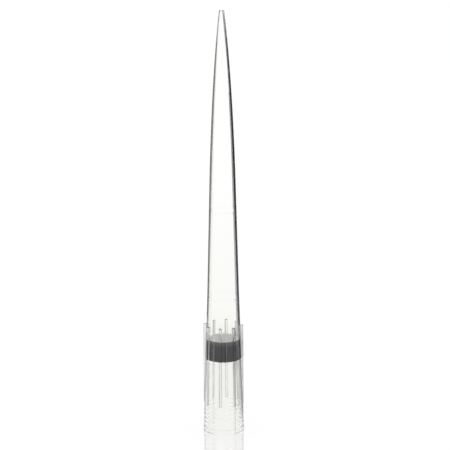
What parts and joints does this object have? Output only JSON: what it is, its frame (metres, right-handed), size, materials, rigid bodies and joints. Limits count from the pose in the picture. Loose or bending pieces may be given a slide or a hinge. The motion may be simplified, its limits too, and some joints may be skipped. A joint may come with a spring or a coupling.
{
  "type": "filter pipette tip",
  "caption": "Long clear pipette tip with a slender curved taper, a finned and ringed collar at its open mouth, and a grey porous filter plug pressed into its bore.",
  "frame": {"origin": "centre of the mouth's rim, on the surface that the tip stands on", "axes": "+Z along the tip's axis, from the mouth to the point; a fin lies on +X"},
  "size_m": [0.0096, 0.0096, 0.102],
  "materials": {
    "clear_plastic": "clear, smooth moulded polypropylene",
    "porous_filter": "matt grey sintered polyethylene, finely porous"
  },
  "bodies": {
    "root": {"tip_body": "clear_plastic", "filter_plug": "porous_filter"}
  },
  "joints": []
}
